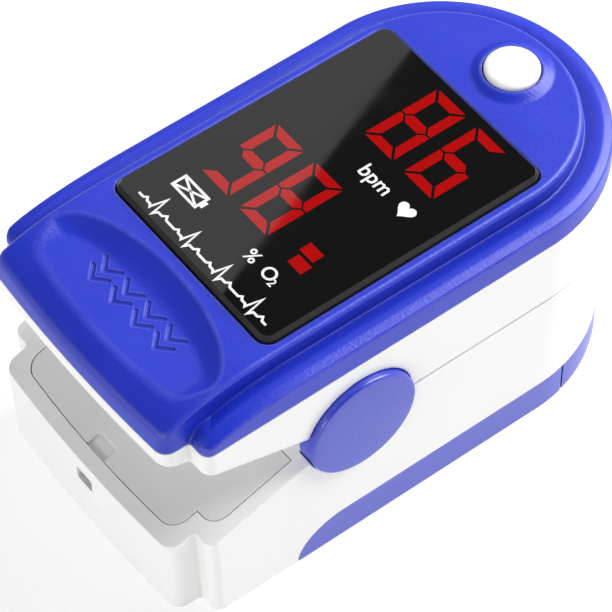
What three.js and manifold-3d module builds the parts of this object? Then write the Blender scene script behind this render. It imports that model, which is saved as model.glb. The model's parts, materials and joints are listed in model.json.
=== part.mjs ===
// Fingertip pulse oximeter: two sprung jaws, a button and a sliding battery door.
// Millimetres. +X across the width, +Y towards the end where the finger goes in, +Z up.
// The origin is the middle of the base.
import * as THREE from "three";
import { mergeVertices } from "three/addons/utils/BufferGeometryUtils.js";
import Module from "manifold-3d";

const wasm = await Module();
wasm.setup();

// ---------------------------------------------------------------- driving dimensions
const LENGTH = 57.5;
const HALF_WIDTH = 15.5;
const FRONT_Y = -LENGTH / 2;
const REAR_Y = LENGTH / 2;
const REAR_CENTRE_Y = REAR_Y - HALF_WIDTH; // centre of the round rear end
const SNOUT_HALF_WIDTH = 13.15;
const SHOULDER_FRONT_Y = -25.5;
const SNOUT_CORNER = 1.3;
const SNOUT_BOW = 0.5; // how far the front face bows out in the middle
const SHOULDER_CORNER = 1.1;
const WALL = 1.4;
const GAP = 0.3; // clearance between neighbouring pieces

const BAND_TOP_Z = 4.0;
const PARTING_Z = 16.9;
const COVER_BASE_Z = 24.8;
const LEDGE_Z = 27.55;
const PLATFORM_Z = 29.3;
const PLATFORM_HALF_WIDTH = 12.65;
const COVER_THICKNESS = 1.3;
const GLASS_TOP_Z = 29.86;
const GLASS_HALF_WIDTH = 11.44;
const GLASS_FRONT_Y = -16.0;
const GLASS_REAR_Y = 15.45;

const PIVOT_Y = -8.55;
const PIVOT_Z = PARTING_Z - 0.1;
const PIVOT_CAP_RADIUS = 5.85;
const PIVOT_CAP_OUTER_X = 16.3;
const BARREL_RADIUS = 4.9;
const PIN_RADIUS = 1.0;
const LOWER_SLOPE = Math.tan(THREE.MathUtils.degToRad(18.2)); // fall of the lower deck
const UNDERSIDE_AT_PIVOT_Z = PARTING_Z - 0.3;
const UPPER_SLOPE = Math.tan(THREE.MathUtils.degToRad(18.8)); // rise of the upper jaw's underside
const DECK_THICKNESS = 1.1;

const BUTTON_Y = 21.1;
const BUTTON_RADIUS = 2.66;
const BUTTON_TOP_Z = 30.4;
const BUTTON_FLANGE_RADIUS = 3.2;
const COLLAR_RADIUS = 4.1; // the cover swells gently round the button
const COLLAR_HEIGHT = 0.6;

const CHANNEL_HALF_WIDTH = 7.6; // finger channel between the two pads
const CHANNEL_UP = 4.3;
const CHANNEL_DOWN = 3.7;
const MOUTH_HALF_WIDTH = 8.6; // mouth cut in the rear walls
const MOUTH_UP = 5.1;
const MOUTH_DOWN = 4.5;
const PAD_FRONT_Y = -4.5;
const SENSOR_Y = 4.0; // light source above, light sensor below

const BATTERY_RADIUS = 5.1;
const BATTERY_LENGTH = 43.4;
const BATTERY_X = 5.4;
const BATTERY_Z = 6.05;
const DOOR_HALF_WIDTH = 11.9;
const DOOR_FRONT_Y = -24.5;
const DOOR_SEAM_Y = 16.45;
const DOOR_BASE_Z = 0.15; // the door sits a little above the surface that the housing rests on

const FAR = 60; // beyond the object on every side

// ---------------------------------------------------------------- materials
function finish(color, roughness, metalness = 0) {
  return new THREE.MeshStandardMaterial({ color, roughness, metalness });
}

const BLUE = finish(0x2c3cc8, 0.5);
const WHITE = finish(0xf2f2f0, 0.35);
const PANEL_WHITE = finish(0xe8e8e6, 0.45);
const BUTTON_WHITE = finish(0xfafafa, 0.2);
const SILICONE = finish(0x3b4048, 0.8);
const BLACK_GLASS = finish(0x0c0c0d, 0.08);
const CLEAR_LENS = finish(0x5a2222, 0.15);
const BOARD_GREEN = finish(0x1e5a37, 0.5);
const DARK_PLASTIC = finish(0x18181a, 0.5);
const STEEL = finish(0xb9bcc0, 0.35, 1.0);
const BATTERY_SLEEVE = finish(0x2f3236, 0.35);
const FLEX_AMBER = finish(0xb5701c, 0.4);
const TRAY_WHITE = finish(0xdcdcda, 0.5);

// ---------------------------------------------------------------- solids
function solid(geometry) {
  geometry.deleteAttribute("normal");
  geometry.deleteAttribute("uv");
  const merged = mergeVertices(geometry, 1e-4);
  const vertProperties = new Float32Array(merged.attributes.position.array);
  const triVerts = new Uint32Array(merged.index.array);
  return new wasm.Manifold(new wasm.Mesh({ numProp: 3, vertProperties, triVerts }));
}

function geometryOf(manifold) {
  const mesh = manifold.getMesh();
  const geometry = new THREE.BufferGeometry();
  geometry.setAttribute("position", new THREE.BufferAttribute(new Float32Array(mesh.vertProperties), 3));
  geometry.setIndex(new THREE.BufferAttribute(new Uint32Array(mesh.triVerts), 1));
  geometry.computeVertexNormals();
  return geometry;
}

// A plan shape in (x, y), raised from one height to another.
function prism(shape, zLow, zHigh, curveSegments = 10) {
  const depth = zHigh - zLow;
  const geometry = new THREE.ExtrudeGeometry(shape, { depth, bevelEnabled: false, curveSegments });
  geometry.translate(0, 0, zLow);
  return solid(geometry);
}

// A side shape in (y, z), stretched across the width.
function sidePrism(shape, xLow = -FAR, xHigh = FAR, curveSegments = 12) {
  const depth = xHigh - xLow;
  const geometry = new THREE.ExtrudeGeometry(shape, { depth, bevelEnabled: false, curveSegments });
  geometry.rotateY(Math.PI / 2);
  geometry.rotateX(Math.PI / 2);
  geometry.translate(xLow, 0, 0);
  return solid(geometry);
}

function block(xLow, xHigh, yLow, yHigh, zLow, zHigh) {
  const geometry = new THREE.BoxGeometry(xHigh - xLow, yHigh - yLow, zHigh - zLow);
  geometry.translate((xLow + xHigh) / 2, (yLow + yHigh) / 2, (zLow + zHigh) / 2);
  return solid(geometry);
}

function cylinder(radius, length, segments) {
  return new THREE.CylinderGeometry(radius, radius, length, segments);
}

function cylinderX(radius, xLow, xHigh, y, z, segments = 24) {
  const geometry = cylinder(radius, xHigh - xLow, segments);
  geometry.rotateZ(Math.PI / 2);
  geometry.translate((xLow + xHigh) / 2, y, z);
  return solid(geometry);
}

function cylinderY(radius, yLow, yHigh, x, z, segments = 20) {
  const geometry = cylinder(radius, yHigh - yLow, segments);
  geometry.translate(x, (yLow + yHigh) / 2, z);
  return solid(geometry);
}

function cylinderZ(radius, zLow, zHigh, x, y, segments = 16) {
  const geometry = cylinder(radius, zHigh - zLow, segments);
  geometry.rotateX(Math.PI / 2);
  geometry.translate(x, y, (zLow + zHigh) / 2);
  return solid(geometry);
}

// An upright turned piece: profile points are [radius, z], from the axis and back to it.
function turnedZ(profile, x, y, segments = 16) {
  const geometry = new THREE.LatheGeometry(profile.map(([r, z]) => new THREE.Vector2(r, z)), segments);
  geometry.rotateX(Math.PI / 2);
  geometry.translate(x, y, 0);
  return solid(geometry);
}

// An oval tunnel along Y about the parting line, taller above the line than below it.
function ovalTunnel(halfWidth, up, down, yLow, yHigh) {
  const shape = new THREE.Shape();
  shape.absellipse(0, 0, halfWidth, up, 0, Math.PI, false);
  shape.absellipse(0, 0, halfWidth, down, Math.PI, 2 * Math.PI, false);
  const depth = yHigh - yLow;
  const geometry = new THREE.ExtrudeGeometry(shape, { depth, bevelEnabled: false, curveSegments: 12 });
  geometry.rotateX(Math.PI / 2);
  geometry.translate(0, yHigh, PARTING_Z);
  return solid(geometry);
}

function bothSides(make) {
  return make(1).add(make(-1));
}

// ---------------------------------------------------------------- outlines
// A plan shape with a front that may bow out, rounded front corners and a round rear end.
function planShape(halfWidth, frontY, corner, bow = 0) {
  const shape = new THREE.Shape();
  shape.moveTo(-halfWidth + corner, frontY + bow);
  if (bow > 0) {
    shape.quadraticCurveTo(0, frontY - bow, halfWidth - corner, frontY + bow);
  }
  shape.lineTo(halfWidth - corner, frontY + bow);
  shape.absarc(halfWidth - corner, frontY + bow + corner, corner, -Math.PI / 2, 0, false);
  shape.lineTo(halfWidth, REAR_CENTRE_Y);
  shape.absarc(0, REAR_CENTRE_Y, halfWidth, 0, Math.PI, false);
  shape.lineTo(-halfWidth, frontY + bow + corner);
  shape.absarc(-halfWidth + corner, frontY + bow + corner, corner, Math.PI, 1.5 * Math.PI, false);
  return shape;
}

// The stepped outline of both jaws: a wide body and a narrower snout, moved in by inset.
function jawPrism(inset, zLow, zHigh) {
  const wide = planShape(HALF_WIDTH - inset, SHOULDER_FRONT_Y + inset, SHOULDER_CORNER);
  const snout = planShape(SNOUT_HALF_WIDTH - inset, FRONT_Y + inset, SNOUT_CORNER, SNOUT_BOW);
  return prism(wide, zLow, zHigh).add(prism(snout, zLow, zHigh));
}

function polygon(points) {
  return new THREE.Shape(points.map(([u, v]) => new THREE.Vector2(u, v)));
}

// Everything above the lower jaw's sloping deck, lowered by drop.
function aboveDeck(drop = 0) {
  const top = PARTING_Z - GAP / 2 - drop;
  const reach = FAR - Math.abs(PIVOT_Y);
  const shape = polygon([[PIVOT_Y, top], [PIVOT_Y, FAR], [-FAR, FAR], [-FAR, top - LOWER_SLOPE * reach]]);
  return sidePrism(shape);
}

// Everything below the upper jaw's rising underside, raised by lift.
function belowUnderside(lift = 0) {
  const bottom = UNDERSIDE_AT_PIVOT_Z + lift;
  const reach = FAR - Math.abs(PIVOT_Y);
  const far = bottom + UPPER_SLOPE * reach;
  return sidePrism(polygon([[PIVOT_Y, bottom], [-FAR, far], [-FAR, -FAR], [PIVOT_Y, -FAR]]));
}

// The side band: a front end like a quarter of an ellipse, then level to the rear.
function bandRegion(grow) {
  const shape = new THREE.Shape();
  const levelY = -10.15;
  shape.moveTo(levelY - 5.34 - grow, -1);
  shape.lineTo(levelY - 5.34 - grow, 0);
  shape.absellipse(levelY, 0, 5.34 + grow, BAND_TOP_Z - GAP / 2 + grow, Math.PI, Math.PI / 2, true);
  shape.lineTo(FAR, BAND_TOP_Z - GAP / 2 + grow);
  shape.lineTo(FAR, -1);
  return sidePrism(shape);
}

// ---------------------------------------------------------------- the assembly
const assembly = new THREE.Group();
const lowerJaw = new THREE.Group();
const door = new THREE.Group();
const upperJaw = new THREE.Group();
const button = new THREE.Group();
assembly.add(lowerJaw, door, upperJaw);
upperJaw.add(button);

function place(group, name, shape, material) {
  const mesh = new THREE.Mesh(shape instanceof wasm.Manifold ? geometryOf(shape) : shape, material);
  mesh.name = name;
  group.add(mesh);
  return mesh;
}

const SIDES = [["left", -1], ["right", 1]];

// ---------------------------------------------------------------- lower jaw
const LOWER_TOP_Z = PARTING_Z - GAP / 2;
const LEDGE_TOP = 0.9; // lip of the battery doorway that carries the door's rails
const POST_X = 12.3;
const POST_Y = 2.0;
const TRAY_LOW_Z = 11.5;
const TRAY_HIGH_Z = 12.1;
const PANEL_REAR_Y = -15.15;

function lowerHousing() {
  const shell = jawPrism(0, 0, LOWER_TOP_Z).subtract(aboveDeck());
  const strip = sidePrism(polygon([
    [PANEL_REAR_Y, 0],
    [PIVOT_Y, 0],
    [PIVOT_Y, FAR],
    [PANEL_REAR_Y, FAR],
  ])).intersect(aboveDeck(DECK_THICKNESS));
  const cavity = jawPrism(WALL, LEDGE_TOP, LOWER_TOP_Z + 1).subtract(strip);
  const doorHalf = DOOR_HALF_WIDTH + GAP;
  const doorway = block(-doorHalf, doorHalf, DOOR_FRONT_Y - GAP, FAR, -1, LEDGE_TOP + 0.1);
  let body = shell.subtract(cavity).subtract(doorway).subtract(bandRegion(GAP));
  const plates = bothSides((side) => block(
    Math.min(side * 12.6, side * 14.3), Math.max(side * 12.6, side * 14.3),
    PIVOT_Y - 6.5, PIVOT_Y + 6.5, 6.5, LOWER_TOP_Z,
  ).subtract(aboveDeck()));
  const posts = bothSides((side) => cylinderZ(1.5, 5, TRAY_LOW_Z - GAP, side * POST_X, POST_Y)
    .add(block(Math.min(side * POST_X, side * 14.3), Math.max(side * POST_X, side * 14.3),
      POST_Y - 1.2, POST_Y + 1.2, 5, TRAY_LOW_Z - GAP)));
  body = body.add(plates).add(posts);
  body = body.subtract(bothSides((side) => cylinderX(PIVOT_CAP_RADIUS + GAP, Math.min(side * 13.9, side * 20),
    Math.max(side * 13.9, side * 20), PIVOT_Y, PIVOT_Z, 32)));
  body = body.add(bothSides((side) => cylinderX(BARREL_RADIUS, Math.min(side * 12.6, side * 13.9),
    Math.max(side * 12.6, side * 13.9), PIVOT_Y, PIVOT_Z, 32)));
  body = body.subtract(cylinderX(BARREL_RADIUS + GAP, -12.6, 12.6, PIVOT_Y, PIVOT_Z, 32));
  body = body.subtract(cylinderX(2.3, -20, 20, PIVOT_Y, PIVOT_Z, 16));
  body = body.subtract(ovalTunnel(MOUTH_HALF_WIDTH, MOUTH_UP, MOUTH_DOWN, 20, FAR));
  body = body.subtract(block(-1.0, 1.3, -FAR, FRONT_Y + 3, 6.4, 8.2)); // cord slot
  body = body.subtract(bothSides((side) => cylinderZ(1.0, 7, 12, side * POST_X, POST_Y, 10)));
  return body;
}
place(lowerJaw, "lower_housing", lowerHousing(), WHITE);

function deckPanel() {
  const plan = jawPrism(WALL + GAP, 0, FAR).intersect(block(-FAR, FAR, -FAR, PANEL_REAR_Y - GAP, -1, FAR));
  const slab = aboveDeck(DECK_THICKNESS).subtract(aboveDeck());
  return plan.intersect(slab).subtract(block(-1.05, 1.5, -FAR, -25.65, 0, FAR)); // notch for a cord
}
place(lowerJaw, "deck_panel", deckPanel(), PANEL_WHITE);

function sideBand(side) {
  const outer = jawPrism(0, 0, BAND_TOP_Z - GAP / 2);
  const bay = block(-DOOR_HALF_WIDTH - GAP, DOOR_HALF_WIDTH + GAP, -FAR, FAR, -1, BAND_TOP_Z + 1)
    .add(jawPrism(WALL, LEDGE_TOP, BAND_TOP_Z + 1));
  const half = block(Math.min(0, side * FAR), Math.max(0, side * FAR), -FAR, DOOR_SEAM_Y - GAP / 2, -1, FAR);
  return outer.intersect(bandRegion(0)).intersect(half).subtract(bay);
}
for (const [word, side] of SIDES) {
  place(lowerJaw, `side_band_${word}`, sideBand(side), BLUE);
}

function batteryTray() {
  const plan = jawPrism(WALL + GAP, TRAY_LOW_Z, TRAY_HIGH_Z)
    .intersect(block(-FAR, FAR, PIVOT_Y + 6.5 + GAP, FAR, 0, FAR));
  const holes = bothSides((side) => cylinderZ(1.0, 0, FAR, side * POST_X, POST_Y, 10))
    .add(block(-2.2, 2.2, SENSOR_Y - 2.6, SENSOR_Y + 2.6, 0, FAR));
  return plan.subtract(holes);
}
place(lowerJaw, "battery_tray", batteryTray(), TRAY_WHITE);

function fingerPad(zLow, zHigh) {
  const main = jawPrism(WALL + GAP, zLow, zHigh).intersect(block(-10.2, 10.2, PAD_FRONT_Y, FAR, 0, FAR));
  const lip = ovalTunnel(MOUTH_HALF_WIDTH - GAP, MOUTH_UP - GAP, MOUTH_DOWN - GAP, 22, REAR_Y - 0.35)
    .intersect(jawPrism(0.15, zLow, zHigh));
  const channel = ovalTunnel(CHANNEL_HALF_WIDTH, CHANNEL_UP, CHANNEL_DOWN, PAD_FRONT_Y + 1.5, FAR);
  const window = block(-3.2, 3.2, SENSOR_Y - 3.8, SENSOR_Y + 3.8, 0, FAR);
  return main.add(lip).subtract(channel).subtract(window);
}
place(lowerJaw, "lower_finger_pad", fingerPad(TRAY_HIGH_Z + GAP, LOWER_TOP_Z - 0.1), SILICONE);

place(lowerJaw, "sensor_window", block(-2.9, 2.9, SENSOR_Y - 3.5, SENSOR_Y + 3.5, 12.45, 13.35), CLEAR_LENS);
place(lowerJaw, "photodiode", block(-1.5, 1.5, SENSOR_Y - 1.5, SENSOR_Y + 1.5, 11.3, 12.15), DARK_PLASTIC);
place(lowerJaw, "sensor_board", block(-2.2, 2.2, SENSOR_Y - 3.5, SENSOR_Y + 3.5, 10.4, 11.0), BOARD_GREEN);

// A flat ribbon: the path runs in (y, z) and is thickened by half a thickness each way.
function ribbon(points, halfWidth, thickness) {
  const curve = new THREE.CatmullRomCurve3(points.map(([y, z]) => new THREE.Vector3(0, y, z)));
  const samples = curve.getPoints(16);
  const edge = (sign) => samples.map((point, index) => {
    const tangent = curve.getTangent(index / 16);
    return [point.y - (sign * tangent.z * thickness) / 2, point.z + (sign * tangent.y * thickness) / 2];
  });
  const outline = edge(1).concat(edge(-1).reverse());
  return sidePrism(polygon(outline), -halfWidth, halfWidth);
}
place(lowerJaw, "flex_cable", ribbon([[PIVOT_Y + 0.4, PIVOT_Z - 0.3], [PIVOT_Y + 0.6, 13.6], [-5.8, 11.0],
  [SENSOR_Y - 3.9, 10.7]], 1.2, 0.25), FLEX_AMBER);

// Two cells side by side, pointing opposite ways.
function batteryCell(side) {
  const nubEnd = -side;
  const low = -BATTERY_LENGTH / 2 + 0.5;
  const high = BATTERY_LENGTH / 2 + 0.5;
  const nubLow = nubEnd > 0 ? high - 0.1 : low - 0.8;
  const nubHigh = nubEnd > 0 ? high + 0.8 : low + 0.1;
  return cylinderY(BATTERY_RADIUS, low, high, side * BATTERY_X, BATTERY_Z, 28)
    .add(cylinderY(1.9, nubLow, nubHigh, side * BATTERY_X, BATTERY_Z, 12));
}
for (const [word, side] of SIDES) {
  place(lowerJaw, `battery_${word}`, batteryCell(side), BATTERY_SLEEVE);
}

class Helix extends THREE.Curve {
  constructor(startRadius, endRadius, turns, rise) {
    super();
    Object.assign(this, { startRadius, endRadius, turns, rise });
  }

  getPoint(t, target = new THREE.Vector3()) {
    const angle = 2 * Math.PI * this.turns * t;
    const radius = THREE.MathUtils.lerp(this.startRadius, this.endRadius, t);
    return target.set(radius * Math.cos(angle), radius * Math.sin(angle), this.rise * t);
  }
}

function coil(startRadius, endRadius, turns, rise, wire) {
  const section = new THREE.Shape().absarc(0, 0, wire, 0, 2 * Math.PI, false);
  const path = new Helix(startRadius, endRadius, turns, rise);
  const steps = Math.round(turns * 12);
  const settings = { steps, bevelEnabled: false, extrudePath: path, curveSegments: 3 };
  return new THREE.ExtrudeGeometry(section, settings);
}

function batterySpring(side, y, direction) {
  const geometry = coil(3.2, 1.8, 2.5, 0.7, 0.2);
  geometry.rotateX((-Math.PI / 2) * direction);
  geometry.translate(side * BATTERY_X, y, BATTERY_Z);
  return geometryOf(solid(geometry));
}
place(lowerJaw, "battery_spring_front", batterySpring(-1, -22.5, 1), STEEL);
place(lowerJaw, "battery_spring_rear", batterySpring(1, 23.55, -1), STEEL);
place(lowerJaw, "battery_link_plate", block(-9, 9, -23.4, -23.1, 2.5, 9.5), STEEL);
place(lowerJaw, "battery_plate_left", block(-8.2, -2.6, 23.3, 23.6, 2.8, 9.2), STEEL);
place(lowerJaw, "battery_plate_right", block(2.6, 8.2, 24.05, 24.35, 2.8, 9.2), STEEL);

// Round cap on each side of the pivot, with a hub that turns in the housing.
function pivotCap(side) {
  const rim = 0.5;
  const profile = [[0, 12.65], [2.0, 12.65], [2.0, 14.2], [PIVOT_CAP_RADIUS, 14.2],
    [PIVOT_CAP_RADIUS, PIVOT_CAP_OUTER_X - rim], [PIVOT_CAP_RADIUS - rim, PIVOT_CAP_OUTER_X],
    [0, PIVOT_CAP_OUTER_X]];
  const geometry = new THREE.LatheGeometry(profile.map(([r, x]) => new THREE.Vector2(r, x)), 32);
  geometry.rotateZ((-side * Math.PI) / 2);
  geometry.translate(0, PIVOT_Y, PIVOT_Z);
  return solid(geometry);
}

function torsionSpring(side) {
  const geometry = coil(2.1, 2.1, 3.25, 2.2, 0.28);
  geometry.rotateY((side * Math.PI) / 2);
  geometry.translate(side * 8.1, PIVOT_Y, PIVOT_Z);
  return geometryOf(solid(geometry));
}

for (const [word, side] of SIDES) {
  const inner = side * 7.4;
  const outer = side * 12.35;
  place(lowerJaw, `pivot_cap_${word}`, pivotCap(side), BLUE);
  place(lowerJaw, `hinge_pin_${word}`,
    cylinderX(PIN_RADIUS, Math.min(inner, outer), Math.max(inner, outer), PIVOT_Y, PIVOT_Z, 16), STEEL);
  place(lowerJaw, `torsion_spring_${word}`, torsionSpring(side), STEEL);
}

function screw(x, y, headLow, headHigh, tip) {
  const shank = 0.7;
  const head = 1.35;
  const profile = tip < headLow
    ? [[0, tip], [shank, tip + 0.5], [shank, headLow], [head, headLow], [head, headHigh], [0, headHigh]]
    : [[0, headLow], [head, headLow], [head, headHigh], [shank, headHigh], [shank, tip - 0.5], [0, tip]];
  return turnedZ(profile, x, y, 12);
}
for (const [word, side] of SIDES) {
  place(lowerJaw, `tray_screw_${word}`, screw(side * POST_X, POST_Y, 12.4, 13.2, 8.0), STEEL);
}

// ---------------------------------------------------------------- battery door
const RAIL_LOW_Z = LEDGE_TOP + GAP;
const RAIL_HIGH_Z = 1.7;

function batteryDoor() {
  const plate = block(-DOOR_HALF_WIDTH, DOOR_HALF_WIDTH, DOOR_FRONT_Y, DOOR_SEAM_Y + 1, DOOR_BASE_Z, 0.7);
  const rails = bothSides((side) => block(
    Math.min(side * 10.9, side * DOOR_HALF_WIDTH), Math.max(side * 10.9, side * DOOR_HALF_WIDTH),
    DOOR_FRONT_Y + 0.8, DOOR_SEAM_Y, 0.6, RAIL_HIGH_Z,
  ).add(block(
    Math.min(side * 11.5, side * 12.9), Math.max(side * 11.5, side * 12.9),
    DOOR_FRONT_Y + 0.8, DOOR_SEAM_Y, RAIL_LOW_Z, RAIL_HIGH_Z,
  )));
  const rear = block(-FAR, FAR, DOOR_SEAM_Y + GAP / 2, FAR, -1, FAR);
  const ring = jawPrism(0, DOOR_BASE_Z, BAND_TOP_Z - GAP / 2).subtract(jawPrism(WALL, 0.7, FAR));
  return plate.add(rails).add(ring.intersect(rear));
}
place(door, "battery_door", batteryDoor(), BLUE);

// ---------------------------------------------------------------- upper jaw
const UPPER_BASE_Z = PARTING_Z + GAP / 2;
const FRAME_TOP_Z = COVER_BASE_Z - GAP / 2;
const WEB_LOW_Z = 22.5;
const WEB_HIGH_Z = 23.1;
const SCREW_SPOTS = [["front", 12.3, -2.0], ["rear", 10.2, 19.8]];

// The curved wall about the pivot that closes the gap between the jaws.
function barrelWall() {
  const start = THREE.MathUtils.degToRad(95);
  const end = THREE.MathUtils.degToRad(208);
  const shape = new THREE.Shape();
  shape.absarc(PIVOT_Y, PIVOT_Z, BARREL_RADIUS, start, end, false);
  shape.absarc(PIVOT_Y, PIVOT_Z, BARREL_RADIUS - 1, end, start, true);
  return sidePrism(shape, -12.3, 12.3, 16);
}

function upperFrame() {
  const shell = jawPrism(0, UPPER_BASE_Z, FRAME_TOP_Z);
  const cavity = jawPrism(WALL, UPPER_BASE_Z - 1, FRAME_TOP_Z + 1)
    .subtract(belowUnderside(DECK_THICKNESS));
  const clear = jawPrism(WALL, UPPER_BASE_Z - 1, FRAME_TOP_Z + 1)
    .intersect(block(-FAR, FAR, PIVOT_Y, FAR, 0, FAR));
  let body = shell.subtract(cavity).subtract(clear).subtract(belowUnderside());
  const web = jawPrism(WALL / 2, WEB_LOW_Z, WEB_HIGH_Z).intersect(block(-FAR, FAR, PAD_FRONT_Y, FAR, 0, FAR));
  body = body.add(web);
  body = body.subtract(cylinderX(BARREL_RADIUS - 1, -10.9, 10.9, PIVOT_Y, PIVOT_Z, 24));
  const ears = bothSides((side) => cylinderX(BARREL_RADIUS, Math.min(side * 10.9, side * 12.3),
    Math.max(side * 10.9, side * 12.3), PIVOT_Y, PIVOT_Z, 32));
  body = body.add(barrelWall()).add(ears);
  body = body.add(bothSides((side) => block(
    Math.min(side * 10.9, side * 12.3), Math.max(side * 10.9, side * 12.3),
    PIVOT_Y - 2, PIVOT_Y + 2, PIVOT_Z + 3.5, WEB_HIGH_Z,
  ).add(block(
    Math.min(side * 10.9, side * 14.3), Math.max(side * 10.9, side * 14.3),
    PIVOT_Y - 2, PIVOT_Y + 2, PIVOT_Z + 5.4, WEB_HIGH_Z,
  ))));
  body = body.subtract(bothSides((side) => cylinderX(BARREL_RADIUS + GAP, Math.min(side * 12.3, side * 20),
    Math.max(side * 12.3, side * 20), PIVOT_Y, PIVOT_Z, 32)));
  body = body.subtract(bothSides((side) => cylinderX(PIVOT_CAP_RADIUS + GAP, Math.min(side * 13.9, side * 20),
    Math.max(side * 13.9, side * 20), PIVOT_Y, PIVOT_Z, 32)));
  body = body.subtract(cylinderX(PIN_RADIUS + GAP, -12.5, 12.5, PIVOT_Y, PIVOT_Z, 16));
  body = body.subtract(ovalTunnel(MOUTH_HALF_WIDTH, MOUTH_UP, MOUTH_DOWN, 20, FAR));
  body = body.subtract(block(-2.2, 2.2, SENSOR_Y - 2.6, SENSOR_Y + 2.6, WEB_LOW_Z - 0.2, WEB_HIGH_Z + 0.1));
  for (const [, x, y] of SCREW_SPOTS) {
    const hole = bothSides((side) => cylinderZ(1.0, WEB_LOW_Z - 0.5, WEB_HIGH_Z + 0.5, side * x, y, 10));
    body = body.subtract(hole);
  }
  return body;
}
place(upperJaw, "upper_frame", upperFrame(), WHITE);

// The cover's height along its length: level at the rear, curving down at the front.
function crownProfile(topZ, curveStartY, frontY, frontZ) {
  const shape = new THREE.Shape();
  shape.moveTo(FAR, 0);
  shape.lineTo(FAR, topZ);
  shape.lineTo(curveStartY, topZ);
  shape.absellipse(curveStartY, frontZ, curveStartY - frontY, topZ - frontZ, Math.PI / 2, Math.PI, false);
  shape.lineTo(frontY, 0);
  return sidePrism(shape);
}

// The cover's solid form: a ledge all round, with a narrower platform on top that runs down to the snout.
function coverBlank(inset) {
  const base = COVER_BASE_Z + GAP / 2 - (inset > 0 ? 1 : 0);
  const reach = 0.6 - inset; // the curve runs a little past the front, which leaves a blunt lip
  const ledgeTop = LEDGE_Z - inset;
  const platformTop = PLATFORM_Z - inset;
  const wide = planShape(HALF_WIDTH - inset, SHOULDER_FRONT_Y + inset, SHOULDER_CORNER);
  const snout = planShape(SNOUT_HALF_WIDTH - inset, FRONT_Y + inset, SNOUT_CORNER, SNOUT_BOW);
  const narrow = planShape(PLATFORM_HALF_WIDTH - inset, FRONT_Y + inset, SNOUT_CORNER, SNOUT_BOW);
  const ledge = prism(wide, base, ledgeTop)
    .intersect(crownProfile(ledgeTop, -20.5, SHOULDER_FRONT_Y - 0.15 + inset, 24.9 - inset));
  const platform = prism(snout, base, ledgeTop - 0.8).add(prism(narrow, base, platformTop))
    .intersect(crownProfile(platformTop, -17.5, FRONT_Y - reach, 24.8 - inset));
  return ledge.add(platform);
}

function topCover() {
  let body = coverBlank(0);
  const collar = [[0, 27], [COLLAR_RADIUS, 27], [COLLAR_RADIUS, PLATFORM_Z],
    [COLLAR_RADIUS - 0.4, PLATFORM_Z + 0.2], [COLLAR_RADIUS - 0.8, PLATFORM_Z + COLLAR_HEIGHT],
    [0, PLATFORM_Z + COLLAR_HEIGHT]];
  body = body.add(turnedZ(collar, 0, BUTTON_Y, 32)).subtract(coverBlank(COVER_THICKNESS));
  for (const [, x, y] of SCREW_SPOTS) {
    const low = COVER_BASE_Z + GAP / 2;
    body = body.add(bothSides((side) => cylinderZ(1.6, low, LEDGE_Z - 0.8, side * x, y, 14)));
  }
  for (const [, x, y] of SCREW_SPOTS) {
    body = body.subtract(bothSides((side) => cylinderZ(0.95, 20, 26.4, side * x, y, 10)));
  }
  const dish = sidePrism(polygon([[-17.4, FAR], [-17.4, 29.2], [-18.8, 28.3], [-20.8, 27.8],
    [-27, 27.8], [-27, FAR]]), -11.2, 11.2);
  body = body.subtract(dish);
  body = body.subtract(block(-GLASS_HALF_WIDTH - GAP, GLASS_HALF_WIDTH + GAP,
    GLASS_FRONT_Y - GAP, GLASS_REAR_Y + GAP, 28.0, FAR));
  body = body.subtract(block(-10.5, 10.5, -14.8, 14.3, 20, FAR));
  const inside = PLATFORM_Z - COVER_THICKNESS;
  body = body.subtract(cylinderZ(BUTTON_FLANGE_RADIUS + GAP, 20, inside, 0, BUTTON_Y, 32));
  return body.subtract(cylinderZ(BUTTON_RADIUS + 0.27, 20, FAR, 0, BUTTON_Y, 32));
}
place(upperJaw, "top_cover", topCover(), BLUE);

place(upperJaw, "display_glass",
  block(-GLASS_HALF_WIDTH, GLASS_HALF_WIDTH, GLASS_FRONT_Y, GLASS_REAR_Y, 28.3, GLASS_TOP_Z), BLACK_GLASS);
place(upperJaw, "display_module", block(-10.2, 10.2, -14.5, 14, 24.7, 28.0), DARK_PLASTIC);

place(upperJaw, "main_board", prism(planShape(10.2, -22, 1), 23.4, 24.4), BOARD_GREEN);
place(upperJaw, "main_chip", block(-6, -0.5, -20.8, -15.6, 24.7, 25.7), DARK_PLASTIC);
place(upperJaw, "driver_chip", block(2, 6.4, -20.4, -16.2, 24.7, 25.5), DARK_PLASTIC);
place(upperJaw, "crystal", cylinderZ(1.1, 24.7, 25.6, 8.2, -18.2, 14), STEEL);
place(upperJaw, "tact_switch",
  block(-1.9, 1.9, BUTTON_Y - 1.9, BUTTON_Y + 1.9, 24.7, 25.1)
    .add(cylinderZ(1.0, 25.0, 25.4, 0, BUTTON_Y, 12)), STEEL);

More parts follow.
